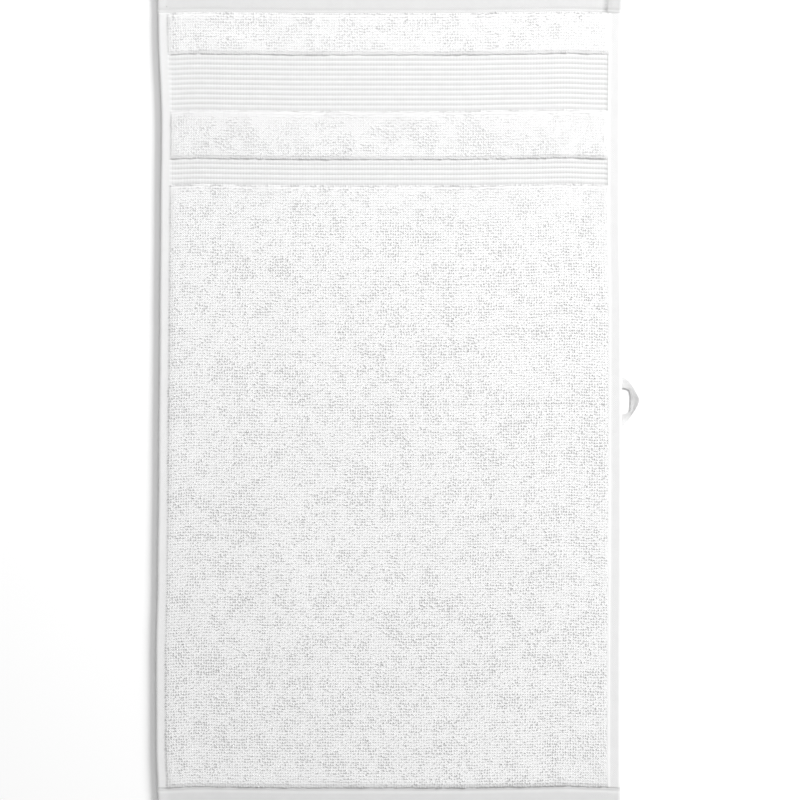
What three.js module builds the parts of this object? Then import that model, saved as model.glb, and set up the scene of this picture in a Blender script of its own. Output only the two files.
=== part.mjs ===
// A white terry guest towel, lying flat and face up.
// One woven cloth: loop pile, two ribbed borders near its top end, flat selvedges down both sides and a
// turned hem at each end. A folded tape loop for hanging is sewn under the middle of the right selvedge.
// Millimetres. +Y runs to the bordered end, +X to the tape loop, +Z up. The origin is the middle of the
// cloth, on the surface that it lies on.
import * as THREE from "three";

// Driving dimensions of the cloth
const HALF_WIDTH = 145;
const HALF_LENGTH = 256;
const PILE_TOP = 4.6;
const RIB_PITCH = 3.13;
const HEM_DEPTH = 12;

// Heights above the surface
const RIB_CREST = 3.1;
const RIB_SHOULDER = 2.85;
const RIB_GROOVE = 2.1;
const RIB_UNDER = 1.2;
const HEM_TOP = 3.2;
const HEM_UNDER = 0.4;
const SELVEDGE_TOP = 2.8;
const SELVEDGE_UNDER = 1.4;
const EDGE_MIDDLE = 2.1;
const SEAM_TOP = 2.4;
const SEAM_UNDER = 0.7;

// Widths in plan
const LEFT_SELVEDGE = 6;
const RIGHT_SELVEDGE = 7.5;
const PILE_SHOULDER = 2;
const PILE_END_STEP = 0.5;
const EDGE_ROUND = 0.5;
const HEM_ROUND = 0.8;
const SEAM_WIDTH = 2.2;
const RIB_SIDE = 0.24;
const FIELD_COLUMNS = 12;
const FIELD_ROW_PITCH = 13;
const PILE_LUMP = 0.22;

// The bands from the top hem down, each with the line where it begins. Ribbed bands give their ribs.
const BANDS = [
  { kind: "hem", from: HALF_LENGTH },
  { kind: "pile", from: HALF_LENGTH - HEM_DEPTH },
  { kind: "ribs", from: 217, ribs: 11 },
  { kind: "pile", from: 217 - 11 * RIB_PITCH },
  { kind: "ribs", from: 151.3, ribs: 5 },
  { kind: "pile", from: 151.3 - 5 * RIB_PITCH },
  { kind: "hem", from: HEM_DEPTH - HALF_LENGTH },
];

// How far each side of the cloth strays outwards from its straight line
const SIDES = [
  { y: 256, left: 1.4, right: 1.5 },
  { y: 238, left: 1.0, right: 0.5 },
  { y: 173, left: -1.1, right: -0.1 },
  { y: 120, left: -0.6, right: 0.0 },
  { y: 50, left: -0.1, right: 0.8 },
  { y: -40, left: 0.6, right: 0.8 },
  { y: -110, left: 1.3, right: 0.6 },
  { y: -160, left: 2.3, right: 0.2 },
  { y: -215, left: 2.2, right: 0.0 },
  { y: -256, left: 1.0, right: 0.0 },
];

// How far the cross threads bow towards the top end, along the width
const WEFT_BOW = [
  { x: -145, rise: -0.4 },
  { x: -121, rise: 0.4 },
  { x: -90, rise: 0.0 },
  { x: -55, rise: -0.4 },
  { x: 40, rise: -0.4 },
  { x: 85, rise: 0.2 },
  { x: 110, rise: 0.7 },
  { x: 132, rise: 0.1 },
  { x: 145, rise: -0.4 },
];

// The tape loop: where the edge of the cloth is there, and the tape's two edges section by section, out
// of the selvedge, round and back. x runs from the cloth's edge, z is the height of the tape's middle.
const CLOTH_EDGE = 145.8;
const TAPE_THICKNESS = 0.8;
const TAPE_STEPS = 30;
const TAPE = [
  { inner: [-6.0, 7.6, 0.6], outer: [-6.0, 14.2, 0.6] },
  { inner: [-0.5, 7.4, 0.6], outer: [-0.5, 14.7, 0.6] },
  { inner: [2.6, 6.9, 0.6], outer: [3.6, 13.0, 1.6] },
  { inner: [4.6, 5.9, 0.7], outer: [7.6, 8.0, 3.4] },
  { inner: [5.3, 3.0, 0.8], outer: [10.3, 3.2, 3.9] },
  { inner: [5.4, 0.0, 0.8], outer: [11.3, 0.0, 3.9] },
  { inner: [5.3, -4.4, 0.8], outer: [9.9, -4.0, 3.8] },
  { inner: [4.9, -7.4, 0.7], outer: [7.2, -8.4, 3.2] },
  { inner: [2.6, -8.4, 0.6], outer: [3.9, -13.2, 1.4] },
  { inner: [-0.5, -9.2, 0.6], outer: [-0.5, -16.6, 0.6] },
  { inner: [-6.0, -9.4, 0.6], outer: [-6.0, -16.2, 0.6] },
];

const smooth = (t) => t * t * (3 - 2 * t);

// Reads a table smoothly: the value in one column at a place given in another
function read(table, along, column, at) {
  const rising = [...table].sort((a, b) => a[along] - b[along]);
  const last = rising.length - 1;
  if (at <= rising[0][along]) return rising[0][column];
  if (at >= rising[last][along]) return rising[last][column];
  const next = rising.findIndex((row) => row[along] >= at);
  const low = rising[next - 1];
  const high = rising[next];
  const share = (at - low[along]) / (high[along] - low[along]);
  return low[column] + (high[column] - low[column]) * smooth(share);
}

// The slow rise and fall of the pile, as washed terry lies
function lump(x, y) {
  const long = Math.sin(x / 31 + 0.6) * Math.sin(y / 43 + 1.1);
  const short = Math.sin(x / 13 - y / 17) * Math.cos(y / 11 + x / 29);
  return PILE_LUMP * (0.6 * long + 0.4 * short);
}

// The rows of one band, from its start line to its end line
function bandRows(band, end) {
  const rows = [];
  const row = (y, top, under, pile = 0) => rows.push({ y, top, under, pile });
  if (band.kind === "hem") {
    const outer = band.from > 0;
    const rim = outer ? band.from : end;
    const inwards = outer ? -1 : 1;
    const seam = rim + inwards * HEM_DEPTH;
    row(rim, EDGE_MIDDLE, SELVEDGE_UNDER);
    row(rim + inwards * HEM_ROUND, HEM_TOP, HEM_UNDER);
    row((rim + seam) / 2, HEM_TOP, HEM_UNDER);
    row(seam - inwards * SEAM_WIDTH, HEM_TOP, HEM_UNDER);
    row(seam - inwards * SEAM_WIDTH * 0.4, SEAM_TOP, SEAM_UNDER);
    if (!outer) rows.reverse();
  } else if (band.kind === "ribs") {
    for (let rib = 0; rib < band.ribs; rib += 1) {
      const crest = band.from - (rib + 0.5) * RIB_PITCH;
      row(crest + RIB_PITCH / 2, RIB_GROOVE, RIB_UNDER);
      row(crest + RIB_PITCH * RIB_SIDE, RIB_SHOULDER, RIB_UNDER);
      row(crest, RIB_CREST, RIB_UNDER);
      row(crest - RIB_PITCH * RIB_SIDE, RIB_SHOULDER, RIB_UNDER);
    }
    row(end, RIB_GROOVE, RIB_UNDER);
  } else {
    const first = band.from - PILE_SHOULDER;
    const length = first - (end + PILE_SHOULDER);
    const count = Math.max(2, Math.round(length / FIELD_ROW_PITCH));
    row(band.from - PILE_END_STEP, PILE_TOP - 1, 0);
    for (let step = 0; step <= count; step += 1) {
      row(first - (length * step) / count, PILE_TOP, 0, 1);
    }
    row(end + PILE_END_STEP, PILE_TOP - 1, 0);
  }
  return rows;
}

function clothRows() {
  return BANDS.flatMap((band, i) => {
    const end = i + 1 < BANDS.length ? BANDS[i + 1].from : -HALF_LENGTH;
    return bandRows(band, end);
  });
}

// One ring of points round the cloth at a row: over the top from left to right, and back underneath
function ring({ y, top, under, pile }) {
  const left = -HALF_WIDTH - read(SIDES, "y", "left", y);
  const right = HALF_WIDTH + read(SIDES, "y", "right", y);
  const from = left + LEFT_SELVEDGE;
  const to = right - RIGHT_SELVEDGE;
  const inHem = Math.abs(y) > HALF_LENGTH - HEM_DEPTH;
  const sideTop = Math.min(top, SELVEDGE_TOP);
  const sideUnder = inHem ? under : SELVEDGE_UNDER;
  const points = [];
  const point = (x, z) => points.push([x, y + read(WEFT_BOW, "x", "rise", x), z]);
  point(left, EDGE_MIDDLE);
  point(left + EDGE_ROUND, sideTop);
  point(from - EDGE_ROUND, sideTop);
  for (let column = 0; column <= FIELD_COLUMNS; column += 1) {
    const x = from + PILE_SHOULDER + ((to - from - 2 * PILE_SHOULDER) * column) / FIELD_COLUMNS;
    point(x, top + pile * lump(x, y));
  }
  point(to + EDGE_ROUND, sideTop);
  point(right - EDGE_ROUND, sideTop);
  point(right, EDGE_MIDDLE);
  point(right - EDGE_ROUND, sideUnder);
  point(to, sideUnder);
  point(to - PILE_SHOULDER, under);
  point(from + PILE_SHOULDER, under);
  point(from, sideUnder);
  point(left + EDGE_ROUND, sideUnder);
  return points;
}

// Joins rings of equal length into one closed geometry. caps gives the triangles over the first ring.
function loft(rings, caps) {
  const size = rings[0].length;
  const positions = rings.flat(2);
  const faces = [];
  for (let r = 0; r + 1 < rings.length; r += 1) {
    for (let i = 0; i < size; i += 1) {
      const a = r * size + i;
      const b = r * size + ((i + 1) % size);
      faces.push(a, a + size, b, b, a + size, b + size);
    }
  }
  const last = (rings.length - 1) * size;
  for (const [a, b, c] of caps) {
    faces.push(a, b, c);
    faces.push(last + a, last + c, last + b);
  }
  const geometry = new THREE.BufferGeometry();
  geometry.setAttribute("position", new THREE.Float32BufferAttribute(positions, 3));
  geometry.setIndex(faces);
  geometry.computeVertexNormals();
  return geometry;
}

// The triangles over a ring, seen from the top end of the cloth
function capOf(points) {
  const outline = points.map(([x, , z]) => new THREE.Vector2(x, z));
  return THREE.ShapeUtils.triangulateShape(outline, []).map(([a, b, c]) => [a, c, b]);
}

function towelGeometry() {
  const rings = clothRows().map(ring);
  return loft(rings, capOf(rings[0]));
}

// The tape at one section: its outer edge, then its inner edge, each with a face above and below
function tapeRings() {
  const edge = (name) =>
    new THREE.CatmullRomCurve3(
      TAPE.map((row) => new THREE.Vector3(row[name][0] + CLOTH_EDGE, row[name][1], row[name][2])),
      false,
      "centripetal",
    );
  const inner = edge("inner");
  const outer = edge("outer");
  const rings = [];
  for (let step = 0; step <= TAPE_STEPS; step += 1) {
    const share = step / TAPE_STEPS;
    const a = inner.getPoint(share);
    const b = outer.getPoint(share);
    const half = TAPE_THICKNESS / 2;
    rings.push([
      [a.x, a.y, a.z - half],
      [a.x, a.y, a.z + half],
      [b.x, b.y, b.z + half],
      [b.x, b.y, b.z - half],
    ]);
  }
  return rings;
}

function tapeGeometry() {
  return loft(tapeRings(), [[0, 1, 2], [0, 2, 3]]);
}

const towelCloth = new THREE.MeshStandardMaterial({ color: 0xf3f3f1, roughness: 0.95, metalness: 0 });
const tapeCloth = new THREE.MeshStandardMaterial({ color: 0xeeeeec, roughness: 0.85, metalness: 0 });

const towel = new THREE.Mesh(towelGeometry(), towelCloth);
towel.name = "towel";
const hangingLoop = new THREE.Mesh(tapeGeometry(), tapeCloth);
hangingLoop.name = "hanging_loop";

const guestTowel = new THREE.Group();
guestTowel.add(towel, hangingLoop);

export default guestTowel;
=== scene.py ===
# A white terry guest towel, lying flat and face up, seen from straight above.
# The ground cloth is one closed sheet: ribs, selvedges, hems and the body of the pile. The tops of yarn
# loops stand out of that body. Lengths are in millimetres until a mesh is written, which turns them into
# metres, unless a name ends in _M.
import math

import bpy
import numpy as np
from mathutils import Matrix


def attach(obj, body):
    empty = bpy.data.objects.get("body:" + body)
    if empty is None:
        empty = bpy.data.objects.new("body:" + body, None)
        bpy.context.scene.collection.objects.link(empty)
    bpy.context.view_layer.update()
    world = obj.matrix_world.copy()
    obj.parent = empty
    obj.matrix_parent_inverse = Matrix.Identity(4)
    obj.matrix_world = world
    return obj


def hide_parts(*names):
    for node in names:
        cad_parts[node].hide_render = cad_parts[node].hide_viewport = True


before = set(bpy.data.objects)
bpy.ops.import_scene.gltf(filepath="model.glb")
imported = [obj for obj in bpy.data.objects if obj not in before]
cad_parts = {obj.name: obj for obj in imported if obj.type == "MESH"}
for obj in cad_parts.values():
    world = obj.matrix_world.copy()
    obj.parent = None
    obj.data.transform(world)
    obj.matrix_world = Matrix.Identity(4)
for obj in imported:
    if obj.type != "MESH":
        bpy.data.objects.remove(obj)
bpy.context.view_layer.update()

MM = 0.001
MERGE_M = 0.00001
BAKE_MAP = "OFBake"

# The cloth in plan
HALF_WIDTH = 145.0
HALF_LENGTH = 256.0
HEM_DEPTH = 12.0
LEFT_SELVEDGE = 6.0
RIGHT_SELVEDGE = 7.5
RIB_PITCH = 3.13
FIRST_BORDER = {"top": 217.0, "ribs": 11}
SECOND_BORDER = {"top": 151.3, "ribs": 5}

# Heights of the ground cloth above the surface
GROUND_TOP = 2.8
PILE_BASE = 3.8
PILE_UNDER = 0.15
PILE_END_UNDER = 0.8
RIB_CREST = 3.5
RIB_GROOVE = 2.95
RIB_UNDER = 1.2
SELVEDGE_TOP = 3.4
SELVEDGE_UNDER = 1.6
EDGE_MIDDLE = 2.5
HEM_TOP = 3.2
HEM_UNDER = 0.4
LEFT_CURL = 0.5
HEM_WRINKLE = 0.06
HEM_WRINKLE_SIZE = 7

# The folded end of the hem at the top right corner
HEM_END_RISE = 0.7
HEM_END_WIDTH = 9.5
HEM_END_WRINKLE = 0.15
HEM_END_WRINKLE_SIZE = 2.5

# How light the undyed cotton is in each part of the weave
HEM_TONE = 0.68
SELVEDGE_TONE = 0.75
RIB_TONE = 0.76
PILE_BASE_TONE = 0.82
HEM_END_TONE = 0.62

# The slow rise and fall of the pile, and the crease across it
PILE_LUMP = 0.22
CREASE_Y = -5.0
CREASE_WIDTH = 2.0
CREASE_DEPTH = 0.35
CREASE_FROM_X = -90
CREASE_FADE = 70

# The start of each run of random numbers
SEED_HEM = 11
SEED_HEM_END = 12
SEED_LEAN_X = 31
SEED_LEAN_Y = 32
SEED_PICKS = 5

# How far each side of the cloth strays outwards from its straight line: y, left, right
SIDES = np.array([
    [256, 1.4, 1.5],
    [238, 1.0, 0.5],
    [173, -1.1, -0.1],
    [120, -0.6, 0.0],
    [50, -0.1, 0.8],
    [-40, 0.6, 0.8],
    [-110, 1.3, 0.6],
    [-160, 2.3, 0.2],
    [-215, 2.2, 0.0],
    [-256, 1.0, 0.0],
])

# How far the cross threads bow towards the top end: x, rise
WEFT_BOW = np.array([
    [-145, -0.4],
    [-121, 0.4],
    [-90, 0.0],
    [-55, -0.4],
    [40, -0.4],
    [85, 0.2],
    [110, 0.7],
    [132, 0.1],
    [145, -0.4],
])


def smooth(share):
    return share * share * (3 - 2 * share)


def ramp(value, start, length):
    """From 0 at the start to 1 a length further on."""
    return np.clip((value - start) / length, 0, 1)


def read(table, column, at):
    """Reads one column of a table smoothly at places given in its first column."""
    rows = table[np.argsort(table[:, 0])]
    places = rows[:, 0]
    at = np.clip(at, places[0], places[-1])
    high = np.clip(np.searchsorted(places, at), 1, len(places) - 1)
    share = smooth((at - places[high - 1]) / (places[high] - places[high - 1]))
    return rows[high - 1, column] * (1 - share) + rows[high, column] * share


def left_edge(y):
    return -HALF_WIDTH - read(SIDES, 1, y)


def right_edge(y):
    return HALF_WIDTH + read(SIDES, 2, y)


def bow(x):
    return read(WEFT_BOW, 1, x)


def lump(x, y):
    """How far the pile rises above its mean height, as washed terry lies, with the crease taken off."""
    long = np.sin(x / 31 + 0.6) * np.sin(y / 43 + 1.1)
    short = np.sin(x / 13 - y / 17) * np.cos(y / 11 + x / 29)
    crease = np.exp(-((y - CREASE_Y) / CREASE_WIDTH) ** 2) * ramp(x, CREASE_FROM_X, CREASE_FADE)
    return PILE_LUMP * (0.6 * long + 0.4 * short) - CREASE_DEPTH * crease


def drift(x, y, size, seed):
    """Smooth noise from -1 to 1 whose patches are about size across."""
    random = np.random.default_rng(seed)
    columns = int(2 * HALF_WIDTH / size) + 6
    rows = int(2 * HALF_LENGTH / size) + 6
    lattice = random.uniform(-1, 1, (columns, rows))
    u = (x + HALF_WIDTH) / size + 2
    v = (y + HALF_LENGTH) / size + 2
    i = np.clip(np.floor(u).astype(int), 0, columns - 2)
    j = np.clip(np.floor(v).astype(int), 0, rows - 2)
    a = smooth(u - i)
    b = smooth(v - j)
    near = lattice[i, j] * (1 - a) + lattice[i + 1, j] * a
    far = lattice[i, j + 1] * (1 - a) + lattice[i + 1, j + 1] * a
    return near * (1 - b) + far * b


def border_end(border):
    return border["top"] - border["ribs"] * RIB_PITCH


# The stretches that carry pile, from the top end down
PILE_BANDS = [
    (HALF_LENGTH - HEM_DEPTH, FIRST_BORDER["top"]),
    (border_end(FIRST_BORDER), SECOND_BORDER["top"]),
    (border_end(SECOND_BORDER), HEM_DEPTH - HALF_LENGTH),
]


# Helpers for meshes

def deselect_all():
    bpy.ops.object.select_all(action="DESELECT")


def coordinates(obj):
    flat = np.empty(len(obj.data.vertices) * 3)
    obj.data.vertices.foreach_get("co", flat)
    return flat.reshape(-1, 3)


def place(obj, points):
    """Moves the object's vertices to points in millimetres."""
    obj.data.vertices.foreach_set("co", (points * MM).ravel())
    obj.data.update()


def add_grid(name, columns, rows):
    """A flat grid of columns x rows vertices at the origin, and the column and row number of each vertex."""
    deselect_all()
    bpy.ops.mesh.primitive_grid_add(x_subdivisions=columns - 1, y_subdivisions=rows - 1, size=2)
    obj = bpy.context.object
    obj.name = name
    obj.data.name = name
    flat = coordinates(obj)
    column = np.rint((flat[:, 0] + 1) / 2 * (columns - 1)).astype(int)
    row = np.rint((flat[:, 1] + 1) / 2 * (rows - 1)).astype(int)
    return obj, column, row


def keep_values(obj, name, values):
    """Keeps a number or a vector for each vertex of the object as a named attribute."""
    values = np.asarray(values, dtype=float)
    is_vector = values.ndim == 2
    layer = obj.data.attributes.new(name, "FLOAT_VECTOR" if is_vector else "FLOAT", "POINT")
    layer.data.foreach_set("vector" if is_vector else "value", values.ravel())


def edit(obj):
    deselect_all()
    bpy.context.view_layer.objects.active = obj
    obj.select_set(True)
    bpy.ops.object.mode_set(mode="EDIT")
    bpy.ops.mesh.select_all(action="SELECT")


def leave_edit():
    bpy.ops.object.mode_set(mode="OBJECT")


def close_up(obj):
    """Joins the rims that meet into one closed skin, facing outwards and shaded smooth."""
    edit(obj)
    bpy.ops.mesh.remove_doubles(threshold=MERGE_M)
    bpy.ops.mesh.normals_make_consistent(inside=False)
    leave_edit()
    bpy.ops.object.shade_smooth()
    obj.data.uv_layers[0].name = BAKE_MAP


def plan_map(obj):
    """Lays the map that the piece's looks are baked through straight down on it."""
    layer = obj.data.uv_layers.new(name=BAKE_MAP)
    points = coordinates(obj)
    low = points.min(axis=0)
    size = (points.max(axis=0) - low)[:2].max()
    corner = np.empty(len(obj.data.loops), dtype=int)
    obj.data.loops.foreach_get("vertex_index", corner)
    layer.data.foreach_set("uv", ((points - low)[corner, :2] / size).ravel())


# The ground cloth

# A hem inwards from its rim: distance, height of the upper face, height of the under face
HEM_PROFILE = [
    (0.0, EDGE_MIDDLE, EDGE_MIDDLE),
    (0.12, EDGE_MIDDLE + 0.6, EDGE_MIDDLE - 0.9),
    (0.7, HEM_TOP - 0.1, HEM_UNDER + 0.1),
    (1.8, HEM_TOP, HEM_UNDER),
    (3.6, HEM_TOP, HEM_UNDER),
    (5.4, HEM_TOP, HEM_UNDER),
    (7.2, HEM_TOP, HEM_UNDER),
    (8.4, HEM_TOP, HEM_UNDER),
    (9.6, HEM_TOP - 0.08, HEM_UNDER + 0.05),
    (10.4, HEM_TOP - 0.45, HEM_UNDER + 0.25),
    (11.0, HEM_TOP - 0.25, HEM_UNDER + 0.15),
    (11.5, HEM_TOP - 0.15, HEM_UNDER + 0.1),
    (HEM_DEPTH, GROUND_TOP, HEM_UNDER),
]

# One rib: share of its pitch, share of the way up from its groove to its crest
RIB_PROFILE = [
    (0.0, 0.0),
    (0.12, 0.45),
    (0.28, 0.85),
    (0.5, 1.0),
    (0.72, 0.85),
    (0.88, 0.45),
]

# Where the rows of a pile stretch begin, and how far apart they are
PILE_END_STEP = 0.4
PILE_SHOULDER = 1.2
PILE_ROW_PITCH = 2.4
FEWEST_PILE_ROWS = 4


def cloth_rows():
    """One row across the cloth after another, from the top end down.

    Each row has y, the height of its upper face, that of its under face, how ribbed it is, and 1 where it
    is the body of the pile.
    """
    rows = []

    def row(y, top, under, ribbed=0.0, piled=0.0):
        rows.append((y, top, under, ribbed, piled))

    def pile(top, end):
        row(top - PILE_END_STEP, GROUND_TOP, PILE_END_UNDER)
        count = max(FEWEST_PILE_ROWS, round((top - end - 2 * PILE_SHOULDER) / PILE_ROW_PITCH))
        for y in np.linspace(top - PILE_SHOULDER, end + PILE_SHOULDER, count):
            row(y, PILE_BASE, PILE_UNDER, piled=1.0)
        row(end + PILE_END_STEP, GROUND_TOP, PILE_END_UNDER)

    def ribs(border):
        for rib in range(border["ribs"]):
            start = border["top"] - rib * RIB_PITCH
            for share, rise in RIB_PROFILE:
                top = RIB_GROOVE + (RIB_CREST - RIB_GROOVE) * rise
                row(start - RIB_PITCH * share, top, RIB_UNDER, ribbed=1.0)
        row(border_end(border), RIB_GROOVE, RIB_UNDER, ribbed=1.0)

    for distance, top, under in HEM_PROFILE:
        row(HALF_LENGTH - distance, top, under)
    pile(*PILE_BANDS[0])
    ribs(FIRST_BORDER)
    pile(*PILE_BANDS[1])
    ribs(SECOND_BORDER)
    pile(*PILE_BANDS[2])
    for distance, top, under in reversed(HEM_PROFILE):
        row(distance - HALF_LENGTH, top, under)
    return np.array(rows)


# Where the columns lie near each side: distance from the edge, share of the way from the edge's middle
# height to the selvedge's face, height added, share of the way on to the field's height
LEFT_PROFILE = np.array([
    [0.0, 0.0, 0.0, 0.0],
    [0.12, 0.65, 0.0, 0.0],
    [0.5, 1.0, 0.0, 0.0],
    [1.8, 1.0, 0.02, 0.0],
    [3.4, 1.0, -0.04, 0.0],
    [4.8, 1.0, 0.0, 0.0],
    [5.7, 1.0, 0.03, 0.0],
    [6.3, 1.0, 0.0, 0.5],
    [7.4, 1.0, 0.0, 1.0],
])
RIGHT_PROFILE = np.array([
    [0.0, 0.0, 0.0, 0.0],
    [0.12, 0.65, 0.0, 0.0],
    [0.5, 1.0, 0.0, 0.0],
    [2.0, 1.0, 0.03, 0.0],
    [3.6, 1.0, -0.05, 0.0],
    [5.4, 1.0, 0.02, 0.0],
    [6.6, 1.0, -0.06, 0.0],
    [7.2, 1.0, 0.12, 0.0],
    [7.8, 1.0, 0.4, 0.15],
    [8.4, 1.0, 0.12, 0.5],
    [9.0, 1.0, 0.0, 1.0],
    [9.9, 1.0, 0.0, 1.0],
])
FIELD_PROFILE = [0, 1, 0, 1]
FIELD_COLUMNS = 90

# Keeps the seam's own row on the hem's side of a test
SEAM_MARGIN = 0.01


def ground_cloth():
    rows = cloth_rows()
    width = len(LEFT_PROFILE) + FIELD_COLUMNS + len(RIGHT_PROFILE)
    around = 2 * width - 1
    cloth, column, row = add_grid("towel_cloth", around, len(rows))
    y, top, under, ribbed, piled = rows[len(rows) - 1 - row].T
    upper = column < width
    across = np.where(upper, column, around - 1 - column)
    on_left = across < len(LEFT_PROFILE)
    on_right = across >= width - len(RIGHT_PROFILE)

    # Each column's distance from its edge, and its shares
    profile = np.zeros((width, 4))
    profile[:len(LEFT_PROFILE)] = LEFT_PROFILE
    profile[width - len(RIGHT_PROFILE):] = RIGHT_PROFILE[::-1]
    profile[len(LEFT_PROFILE):width - len(RIGHT_PROFILE)] = FIELD_PROFILE
    from_edge, face_share, added, field_share = profile[across].T
    left = left_edge(y)
    right = right_edge(y)
    field_from = left + LEFT_PROFILE[-1, 0]
    field_to = right - RIGHT_PROFILE[-1, 0]
    step = (across - len(LEFT_PROFILE) + 1) / (FIELD_COLUMNS + 1)
    x = field_from + (field_to - field_from) * step
    x = np.where(on_left, left + from_edge, x)
    x = np.where(on_right, right - from_edge, x)

    # Heights: the edge's middle line, then the selvedge's face, then the field
    in_hem = np.abs(y) > HALF_LENGTH - HEM_DEPTH - SEAM_MARGIN
    side_top = np.where(in_hem, top, SELVEDGE_TOP)
    side_under = np.where(in_hem, under, SELVEDGE_UNDER)
    side = np.where(upper, side_top + added * ~in_hem, side_under)
    field = np.where(upper, top, under)
    z = EDGE_MIDDLE + (side - EDGE_MIDDLE) * face_share
    z = z + (field - z) * field_share

    # The hem's face is a little uneven, but not its rim, where the two faces have to meet
    on_hem = upper & in_hem & (face_share == 1) & (top > EDGE_MIDDLE)
    z = z + np.where(on_hem, HEM_WRINKLE * drift(x, y, HEM_WRINKLE_SIZE, SEED_HEM), 0)
    z = z + np.where(upper & (piled == 1), lump(x, y) * field_share, 0)
    z = z + np.where(on_left, LEFT_CURL * np.clip(1 - from_edge / LEFT_SELVEDGE, 0, 1), 0)
    at_corner = on_hem & on_right & (from_edge < HEM_END_WIDTH) & (y > 0)
    folds = HEM_END_WRINKLE * drift(x, y, HEM_END_WRINKLE_SIZE, SEED_HEM_END)
    z = z + np.where(at_corner, HEM_END_RISE + folds, 0)

    place(cloth, np.column_stack([x, y + bow(x), z]))
    keep_values(cloth, "ribbed", ribbed * field_share)
    field_tone = np.where(ribbed == 1, RIB_TONE, PILE_BASE_TONE)
    tone = SELVEDGE_TONE + (field_tone - SELVEDGE_TONE) * field_share
    tone = np.where(in_hem, HEM_TONE, tone)
    keep_values(cloth, "tone", np.where(at_corner, HEM_END_TONE, tone))
    close_up(cloth)
    return cloth


# The pile

# The loops' spacing, and the shape of one
LOOP_ACROSS = 1.58
LOOP_ALONG = 1.76
LOOP_FOOT = 2.95
LOOP_HEIGHT = 1.5
LOOP_HALF_SPAN = 0.36
YARN_RADIUS = 0.46
YARN_SIDES = 3
YARN_STEPS = 3

# How much one loop differs from the next
LOOP_STRAY = 0.15
LOOP_HEIGHT_SPREAD = 0.07
LOOP_WIDTH_SPREAD = 0.06
LEAN_SPREAD = 0.13
TURN_SPREAD = 0.38

# How the loops of a patch lean together
LEAN_PATCH = 0.12
LEAN_PATCH_SIZE = 9

# How the loops stand lower and straighter beside the selvedges and at the ends of a stretch
PILE_RIGHT_GAP = 0.5
SIDE_DROP = 0.22
SIDE_DROP_WIDTH = 1.2
SIDE_LEAN_WIDTH = 2
SIDE_LEAST_LEAN = 0.3
END_WIDTH = 1.5
END_STRAIGHTENING = 0.7

# Which way the loops lie round: a common angle, then more by patches, near the sides and at the lower right
TWIST_MIDDLE = 0.35
TWIST_BY_PATCH = 1.7
TWIST_NEAR_SIDE = 0.7
TWIST_LOW_RIGHT = 0.7

# The patches of that angle: size, strength, seed
TWIST_PATCHES = [
    (13, 0.9, 21),
    (5, 0.7, 22),
]

# The most rows that one piece of pile holds, which keeps each piece small
ROWS_IN_PIECE = 58


def yarn_loop():
    """One loop of yarn on its feet, its arch along X: a triangle spun over half a turn, then drawn up."""
    deselect_all()
    bpy.ops.mesh.primitive_circle_add(
        vertices=YARN_SIDES,
        radius=YARN_RADIUS * MM,
        fill_type="NOTHING",
        location=(-LOOP_HALF_SPAN * MM, 0, 0),
        rotation=(0, 0, math.radians(90)),
    )
    loop = bpy.context.object
    loop.name = "yarn_loop"
    bpy.ops.object.transform_apply(location=True, rotation=True, scale=True)
    edit(loop)
    # About -Y the spin goes up and over
    bpy.ops.mesh.spin(steps=YARN_STEPS, angle=math.pi, center=(0, 0, 0), axis=(0, -1, 0))
    leave_edit()
    points = coordinates(loop) / MM
    arch = points[:, 2].max()
    points[:, 2] *= LOOP_HEIGHT / arch
    place(loop, points)
    edit(loop)
    bpy.ops.mesh.normals_make_consistent(inside=False)
    leave_edit()
    bpy.ops.object.shade_smooth()
    return loop


def scatter(points, shape):
    """Sets a copy of the shape on each vertex of points, turned and sized by its attributes, as one mesh."""
    tree = bpy.data.node_groups.new("scatter", "GeometryNodeTree")
    tree.interface.new_socket("Geometry", in_out="INPUT", socket_type="NodeSocketGeometry")
    tree.interface.new_socket("Geometry", in_out="OUTPUT", socket_type="NodeSocketGeometry")
    start = tree.nodes.new("NodeGroupInput")
    end = tree.nodes.new("NodeGroupOutput")
    source = tree.nodes.new("GeometryNodeObjectInfo")
    source.inputs["Object"].default_value = shape
    copies = tree.nodes.new("GeometryNodeInstanceOnPoints")
    real = tree.nodes.new("GeometryNodeRealizeInstances")
    tree.links.new(start.outputs["Geometry"], copies.inputs["Points"])
    tree.links.new(source.outputs["Geometry"], copies.inputs["Instance"])
    for name, socket in (("turn", "Rotation"), ("grow", "Scale")):
        value = tree.nodes.new("GeometryNodeInputNamedAttribute")
        value.data_type = "FLOAT_VECTOR"
        value.inputs["Name"].default_value = name
        tree.links.new(value.outputs["Attribute"], copies.inputs[socket])
    tree.links.new(copies.outputs["Instances"], real.inputs["Geometry"])
    tree.links.new(real.outputs["Geometry"], end.inputs["Geometry"])
    modifier = points.modifiers.new("scatter", "NODES")
    modifier.node_group = tree
    deselect_all()
    bpy.context.view_layer.objects.active = points
    points.select_set(True)
    bpy.ops.object.modifier_apply(modifier=modifier.name)
    for name in ("turn", "grow"):
        layer = points.data.attributes.get(name)
        if layer:
            points.data.attributes.remove(layer)
    bpy.data.node_groups.remove(tree)


def pile_twist(x, y):
    """Which way the loops of a patch lie round: 0 makes lines across the towel, a right angle along it."""
    patch = sum(strength * drift(x, y, size, seed) for size, strength, seed in TWIST_PATCHES)
    near_side = ramp(np.abs(x), 95, 45)
    low_right = ramp(x, -20, 160) * ramp(-y, 20, 220)
    twist = TWIST_MIDDLE + patch * TWIST_BY_PATCH
    return twist + TWIST_NEAR_SIDE * near_side + TWIST_LOW_RIGHT * low_right


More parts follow.
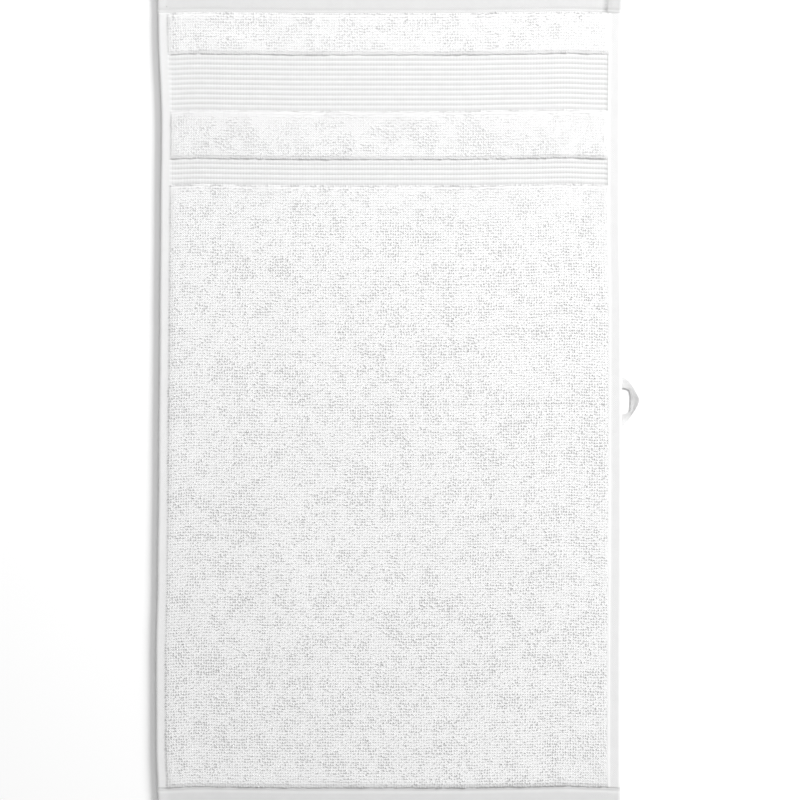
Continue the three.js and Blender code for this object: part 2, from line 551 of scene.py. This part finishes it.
def pile_piece(name, shape, top, end, first_row, last_row, rows, seed):
    """The loops from one row to another of a stretch of pile that has so many rows."""
    random = np.random.default_rng(seed)
    widest = 2 * HALF_WIDTH - LEFT_SELVEDGE - RIGHT_SELVEDGE
    columns = round(widest / LOOP_ACROSS)
    count = last_row - first_row
    pile, column, row = add_grid(name, columns, count)
    amount = columns * count

    def vary(spread):
        return random.normal(0, spread, amount)

    y = top - (first_row + row + 0.5) * (top - end) / rows
    from_x = left_edge(y) + LEFT_SELVEDGE
    to_x = right_edge(y) - RIGHT_SELVEDGE - PILE_RIGHT_GAP
    x = from_x + (to_x - from_x) * (column + 0.5) / columns
    x = x + vary(LOOP_STRAY)
    y = y + vary(LOOP_STRAY)
    near_end = np.minimum(top - y, y - end)
    near_side = np.minimum(x - from_x, to_x - x)

    height = 1 + LOOP_HEIGHT_SPREAD * vary(1) + lump(x, y) / LOOP_HEIGHT
    height = height - SIDE_DROP * np.exp(-near_side / SIDE_DROP_WIDTH)
    lean_x = LEAN_PATCH * drift(x, y, LEAN_PATCH_SIZE, SEED_LEAN_X) + vary(LEAN_SPREAD)
    lean_y = LEAN_PATCH * drift(x, y, LEAN_PATCH_SIZE, SEED_LEAN_Y) + vary(LEAN_SPREAD)
    lean_x = lean_x * (1 - END_STRAIGHTENING * np.clip(1 - near_end / END_WIDTH, 0, 1))
    lean_y = lean_y * np.clip(near_side / SIDE_LEAN_WIDTH, SIDE_LEAST_LEAN, 1)
    turn = np.column_stack([lean_x, lean_y, pile_twist(x, y) + vary(TURN_SPREAD)])
    wide = 1 + LOOP_WIDTH_SPREAD * vary(1)

    place(pile, np.column_stack([x, y + bow(x), np.full(amount, LOOP_FOOT)]))
    keep_values(pile, "turn", turn)
    keep_values(pile, "grow", np.column_stack([wide, wide, height]))
    keep_values(pile, "shade", random.uniform(0, 1, amount))
    scatter(pile, shape)
    plan_map(pile)
    return pile


def pile_pieces():
    shape = yarn_loop()
    pieces = []
    for number, (top, end) in enumerate(PILE_BANDS, 1):
        rows = round((top - end) / LOOP_ALONG)
        parts = math.ceil(rows / ROWS_IN_PIECE)
        cuts = [round(rows * part / parts) for part in range(parts + 1)]
        for part, (first, last) in enumerate(zip(cuts, cuts[1:]), 1):
            name = f"pile_{number}_{part}"
            seed = 100 * number + 10 * part
            pieces.append(pile_piece(name, shape, top, end, first, last, rows, seed))
    bpy.data.objects.remove(shape)
    return pieces


# Small threads: the picks that turn back at both edges, and the stitches at the ends of the hem

PICK_PITCH = 1.76
PICK_END_GAP = 1
PICK_STRAY_ALONG = 0.12
PICK_STRAY_OUT = 0.1
PICK_SIZE = (0.32, 0.62, 0.42)
STITCH_SIZE = (0.28, 0.45, 0.22)
STITCH_TURN = 0.5
STITCHES = np.array([
    [136.1, 248.9, HEM_TOP],
    [136.1, 245.7, HEM_TOP],
    [135.5, 242.9, HEM_TOP - 0.4],
    [139.9, 243.2, HEM_TOP],
    [142.7, 243.4, HEM_TOP],
    [-140.5, 247.6, HEM_TOP + 0.2],
])


def thread_bead():
    """A small round of thread, one millimetre in radius, to be flattened where it is set."""
    deselect_all()
    bpy.ops.mesh.primitive_ico_sphere_add(subdivisions=1, radius=MM)
    bead = bpy.context.object
    bpy.ops.object.shade_smooth()
    return bead


def set_beads(points, size, turn):
    """Sets thread beads of one size on the object's vertices, all turned by one angle in plan."""
    amount = len(points.data.vertices)
    keep_values(points, "turn", np.tile((0, 0, turn), (amount, 1)))
    keep_values(points, "grow", np.tile(size, (amount, 1)))
    bead = thread_bead()
    scatter(points, bead)
    bpy.data.objects.remove(bead)
    plan_map(points)


def edge_picks():
    end = HALF_LENGTH - PICK_END_GAP
    rows = round(2 * end / PICK_PITCH)
    picks, side, row = add_grid("edge_picks", 2, rows)
    random = np.random.default_rng(SEED_PICKS)
    y = end - (row + 0.5) * PICK_PITCH + random.normal(0, PICK_STRAY_ALONG, len(row))
    x = np.where(side == 0, left_edge(y), right_edge(y)) + random.normal(0, PICK_STRAY_OUT, len(row))
    z = EDGE_MIDDLE + np.where(side == 0, LEFT_CURL, 0)
    place(picks, np.column_stack([x, y + bow(x), z]))
    set_beads(picks, PICK_SIZE, 0)
    return picks


def hem_stitches():
    stitches, side, row = add_grid("hem_stitches", 2, len(STITCHES) // 2)
    place(stitches, STITCHES[side * len(STITCHES) // 2 + row])
    set_beads(stitches, STITCH_SIZE, STITCH_TURN)
    return stitches


# Materials

# The thread spacings of the weave on the ground cloth
PLAIN_ENDS = 1.1
PLAIN_PICKS = 1.2
FINE_PICKS = 0.6
RIB_ENDS = 0.95

# Tones from one place to another
YARN_TONES = (0.815, 0.845)
# The stitches' dark grey is painted shade, that of the stitch holes, not the thread's own colour.
STITCH_HOLE_SHADE_TONES = (0.42, 0.52)
CLOUD_LOW = 0.96
CLOUD_RANGE = 0.08

PILE_SOFTNESS = 0.6

# The colour sockets of Blender's mix node, which share their names with its other sockets
MIX_LOW = 6
MIX_HIGH = 7
MIX_RESULT = 2


def new_material(name):
    material = bpy.data.materials.new(name)
    material.use_nodes = True
    return material, material.node_tree, material.node_tree.nodes["Principled BSDF"]


def math_node(tree, operation, *values):
    node = tree.nodes.new("ShaderNodeMath")
    node.operation = operation
    for i, value in enumerate(values):
        if isinstance(value, (int, float)):
            node.inputs[i].default_value = value
        else:
            tree.links.new(value, node.inputs[i])
    return node.outputs[0]


def vector_node(tree, operation, vector):
    node = tree.nodes.new("ShaderNodeVectorMath")
    node.operation = operation
    tree.links.new(vector, node.inputs[0])
    return node


def wave(tree, along, period):
    """From -1 to 1 along one coordinate in metres, once each period in millimetres."""
    return math_node(tree, "SINE", math_node(tree, "MULTIPLY", along, math.tau / (period * MM)))


def noise(tree, where, size, detail):
    node = tree.nodes.new("ShaderNodeTexNoise")
    node.inputs["Scale"].default_value = 1 / (size * MM)
    node.inputs["Detail"].default_value = detail
    tree.links.new(where, node.inputs["Vector"])
    return node.outputs["Fac"]


def object_place(tree):
    return tree.nodes.new("ShaderNodeTexCoord").outputs["Object"]


def attribute(tree, name):
    node = tree.nodes.new("ShaderNodeAttribute")
    node.attribute_name = name
    return node.outputs["Fac"]


def grey(tree, share, tones):
    """A grey between two tones, by a share."""
    low, high = tones
    node = tree.nodes.new("ShaderNodeMix")
    node.data_type = "RGBA"
    tree.links.new(share, node.inputs["Factor"])
    node.inputs[MIX_LOW].default_value = (low, low, low, 1)
    node.inputs[MIX_HIGH].default_value = (high, high, high, 1)
    return node.outputs[MIX_RESULT]


def bump(tree, shader, height, distance):
    node = tree.nodes.new("ShaderNodeBump")
    node.inputs["Distance"].default_value = distance * MM
    node.inputs["Strength"].default_value = 1
    tree.links.new(height, node.inputs["Height"])
    tree.links.new(node.outputs[0], shader.inputs["Normal"])


def soften(tree, shader, share):
    """Turns the shading of fine fuzz towards straight up, as loose fibres spread the light."""
    bumped = shader.inputs["Normal"].links[0].from_socket
    side = vector_node(tree, "SCALE", bumped)
    side.inputs["Scale"].default_value = 1 - share
    both = vector_node(tree, "ADD", side.outputs["Vector"])
    both.inputs[1].default_value = (0, 0, share)
    unit = vector_node(tree, "NORMALIZE", both.outputs["Vector"])
    tree.links.new(unit.outputs["Vector"], shader.inputs["Normal"])


def cotton(shader):
    shader.inputs["Roughness"].default_value = 0.95
    shader.inputs["Specular IOR Level"].default_value = 0.15
    shader.inputs["Sheen Weight"].default_value = 0.15
    shader.inputs["Sheen Roughness"].default_value = 0.5


def ground_material():
    """Plain weave with fuzz all over the ground cloth, and the lengthways threads that show on the ribs."""
    material, tree, shader = new_material("woven_ground")
    cotton(shader)
    where = object_place(tree)
    apart = tree.nodes.new("ShaderNodeSeparateXYZ")
    tree.links.new(where, apart.inputs[0])
    x = apart.outputs["X"]
    y = apart.outputs["Y"]
    over = math_node(tree, "MULTIPLY", wave(tree, x, PLAIN_ENDS), wave(tree, y, PLAIN_PICKS))
    picks = math_node(tree, "MULTIPLY", wave(tree, y, FINE_PICKS), 0.4)
    plain = math_node(tree, "ADD", over, picks)
    ends = math_node(tree, "MULTIPLY", wave(tree, x, RIB_ENDS), 0.9)
    ribbed = attribute(tree, "ribbed")
    weave = math_node(tree, "ADD", math_node(tree, "MULTIPLY", ends, ribbed), plain)
    fuzz = noise(tree, where, 0.5, 3)
    height = math_node(tree, "ADD", weave, math_node(tree, "MULTIPLY", fuzz, 1.6))
    bump(tree, shader, height, 0.07)
    cloud = math_node(tree, "MULTIPLY_ADD", noise(tree, where, 6, 4), CLOUD_RANGE, CLOUD_LOW)
    tone = math_node(tree, "MULTIPLY", attribute(tree, "tone"), cloud)
    tree.links.new(tone, shader.inputs["Base Color"])
    return material


def yarn_material():
    """Soft spun cotton yarn, a little lighter or darker from loop to loop."""
    material, tree, shader = new_material("pile_yarn")
    cotton(shader)
    bump(tree, shader, noise(tree, object_place(tree), 0.28, 2), 0.08)
    soften(tree, shader, PILE_SOFTNESS)
    tree.links.new(grey(tree, attribute(tree, "shade"), YARN_TONES), shader.inputs["Base Color"])
    return material


def stitch_shade_material():
    """Hem stitches in a dark grey that is painted shade, the shade of the holes the stitches sink into."""
    material, tree, shader = new_material("hem_stitch_shade")
    cotton(shader)
    where = object_place(tree)
    bump(tree, shader, noise(tree, where, 0.2, 2), 0.05)
    speck = noise(tree, where, 0.8, 2)
    tree.links.new(grey(tree, speck, STITCH_HOLE_SHADE_TONES), shader.inputs["Base Color"])
    return material


# The tape loop: the tape's two edges section by section, out of the selvedge, round and back.
# inner x, y, z, outer x, y, z, with x from the cloth's edge
TAPE_EDGE = 145.8
TAPE_THICKNESS = 0.5
TAPE_SQUARENESS = 24
TAPE = np.array([
    [-6.0, 7.6, 1.2, -6.0, 14.2, 1.2],
    [-0.5, 7.4, 1.2, -0.5, 14.7, 1.2],
    [2.6, 6.9, 0.9, 3.6, 13.0, 1.0],
    [4.6, 5.9, 0.6, 7.6, 8.0, 1.1],
    [5.3, 3.0, 0.5, 10.3, 3.2, 1.4],
    [5.4, 0.0, 0.5, 11.3, 0.0, 1.5],
    [5.3, -4.4, 0.5, 9.9, -4.0, 1.4],
    [4.9, -7.4, 0.6, 7.2, -8.4, 1.1],
    [2.6, -8.4, 0.9, 3.9, -13.2, 1.0],
    [-0.5, -9.2, 1.2, -0.5, -16.6, 1.2],
    [-6.0, -9.4, 1.2, -6.0, -16.2, 1.2],
])
TAPE_STEPS = 120
TAPE_ACROSS = 16

# The tape's weave: how steep its slant is, how many threads along it, and how deep they are
TAPE_SLANT = 60
TAPE_THREADS = 560
TAPE_WEAVE_DEPTH = 0.08

# The tape's tone, with painted shade on its crown where it slopes away from the light: on its arms, at its
# crown, where the crown is, and how fast the tone changes
TAPE_ARM_TONE = 0.84
TAPE_CROWN_SHADED_TONE = 0.76
TAPE_CROWN_AT = 0.49
TAPE_CROWN_SHADE_SLOPE = 6
TAPE_CROWN_SHADE_BLEND = 0.2


def curve_through(points, steps):
    """Points evenly spaced in share along a smooth curve through a short list of points."""
    padded = np.vstack([2 * points[0] - points[1], points, 2 * points[-1] - points[-2]])
    share = np.linspace(0, len(points) - 1, steps)
    i = np.clip(np.floor(share).astype(int), 0, len(points) - 2)
    t = (share - i)[:, None]
    a, b, c, d = (padded[i + k] for k in range(4))
    linear = (c - a) * t
    square = (2 * a - 5 * b + 4 * c - d) * t**2
    cube = (3 * b - a - 3 * c + d) * t**3
    return 0.5 * (2 * b + linear + square + cube)


def tape_loop():
    around = 2 * TAPE_ACROSS + 1
    tape, column, row = add_grid("tape_loop", around, TAPE_STEPS)
    inner = curve_through(TAPE[:, :3], TAPE_STEPS)[row]
    outer = curve_through(TAPE[:, 3:], TAPE_STEPS)[row]
    upper = column <= TAPE_ACROSS
    share = np.where(upper, column, around - 1 - column) / TAPE_ACROSS
    points = inner + (outer - inner) * share[:, None]
    points[:, 0] += TAPE_EDGE
    rounded = np.sqrt(np.clip(1 - (2 * share - 1) ** TAPE_SQUARENESS, 0, 1))
    points[:, 2] += np.where(upper, 1, -1) * TAPE_THICKNESS / 2 * rounded
    place(tape, points)
    keep_values(tape, "across", share)
    keep_values(tape, "along", row / (TAPE_STEPS - 1))
    close_up(tape)
    return tape


def tape_material():
    """Close-woven cotton tape: a herringbone of fine threads along its length, with painted shade darkening
    its crown.
    """
    material, tree, shader = new_material("woven_tape")
    cotton(shader)
    across = attribute(tree, "across")
    along = attribute(tree, "along")
    slant = math_node(tree, "ABSOLUTE", math_node(tree, "SUBTRACT", across, 0.5))
    threads = math_node(tree, "MULTIPLY", along, TAPE_THREADS)
    phase = math_node(tree, "MULTIPLY_ADD", slant, TAPE_SLANT, threads)
    bump(tree, shader, math_node(tree, "SINE", phase), TAPE_WEAVE_DEPTH)
    # Painted shade: the crown is painted darker than the arms, standing in for the shade where it tilts away
    # from the key light.
    from_crown = math_node(tree, "ABSOLUTE", math_node(tree, "SUBTRACT", along, TAPE_CROWN_AT))
    rise = math_node(tree, "MULTIPLY", from_crown, TAPE_CROWN_SHADE_SLOPE)
    unshaded_share = math_node(tree, "SMOOTH_MIN", rise, 1, TAPE_CROWN_SHADE_BLEND)
    tone = math_node(tree, "MULTIPLY_ADD", unshaded_share, TAPE_ARM_TONE - TAPE_CROWN_SHADED_TONE, TAPE_CROWN_SHADED_TONE)
    tree.links.new(tone, shader.inputs["Base Color"])
    return material


# Light, floor and camera

PHOTO_PIXELS = 800
PIXEL_MM = 0.63
TOWEL_MIDDLE_PIXEL = 390
PHOTO_MIDDLE = (0.5 * PHOTO_PIXELS - TOWEL_MIDDLE_PIXEL) * PIXEL_MM
LENS_MM = 200.0
SENSOR_MM = 36.0
FARTHEST_SEEN_M = 20
FLOOR_SIZE_M = 6
FLOOR_TONE = 0.95
ROOM_LIGHT = 0.46

# A large soft box low on the right, and a smaller one over the bordered end: name, place and size in
# metres, power in watts
LIGHTS = [
    ("key_light", (2.2, 1.0, 1.5), 1.3, 92),
    ("end_light", (0, 0.65, 0.9), 0.6, 2.6),
]


def camera():
    deselect_all()
    height = PHOTO_PIXELS * PIXEL_MM * LENS_MM / SENSOR_MM
    bpy.ops.object.camera_add(location=(PHOTO_MIDDLE * MM, 0, height * MM), rotation=(0, 0, 0))
    eye = bpy.context.object
    eye.data.lens = LENS_MM
    eye.data.sensor_width = SENSOR_MM
    eye.data.clip_end = FARTHEST_SEEN_M
    bpy.context.scene.camera = eye


def floor():
    deselect_all()
    bpy.ops.mesh.primitive_plane_add(size=FLOOR_SIZE_M, location=(0, 0, 0))
    ground = bpy.context.object
    ground.name = "floor"
    material, _tree, shader = new_material("floor_white")
    shader.inputs["Base Color"].default_value = (FLOOR_TONE, FLOOR_TONE, FLOOR_TONE, 1)
    shader.inputs["Roughness"].default_value = 0.9
    shader.inputs["Specular IOR Level"].default_value = 0.0
    ground.data.materials.append(material)


def area_light(name, location, size, power):
    """A round soft light aimed at the middle of the towel."""
    deselect_all()
    bpy.ops.object.light_add(type="AREA", location=location)
    lamp = bpy.context.object
    lamp.name = name
    lamp.data.shape = "DISK"
    lamp.data.size = size
    lamp.data.energy = power
    lamp.rotation_euler = (-lamp.location).to_track_quat("-Z", "Y").to_euler()


def light():
    """The soft boxes, and an even room."""
    scene = bpy.context.scene
    world = bpy.data.worlds.new("studio")
    scene.world = world
    world.use_nodes = True
    background = world.node_tree.nodes["Background"]
    background.inputs["Color"].default_value = (1, 1, 1, 1)
    background.inputs["Strength"].default_value = ROOM_LIGHT
    for name, location, size, power in LIGHTS:
        area_light(name, location, size, power)
    scene.view_settings.view_transform = "Standard"


# The scene

def dress(piece, material):
    piece.data.materials.clear()
    piece.data.materials.append(material)


camera()
cloth = ground_cloth()
dress(cloth, ground_material())
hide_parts("towel")

yarn = yarn_material()
pile = pile_pieces()
for piece in pile:
    dress(piece, yarn)

tape = tape_loop()
dress(tape, tape_material())
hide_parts("hanging_loop")

picks = edge_picks()
dress(picks, yarn)
stitches = hem_stitches()
dress(stitches, stitch_shade_material())

sewn_on = [tape, picks, stitches, *pile]
for piece in [cloth, *sewn_on]:
    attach(piece, "root")

floor()
light()
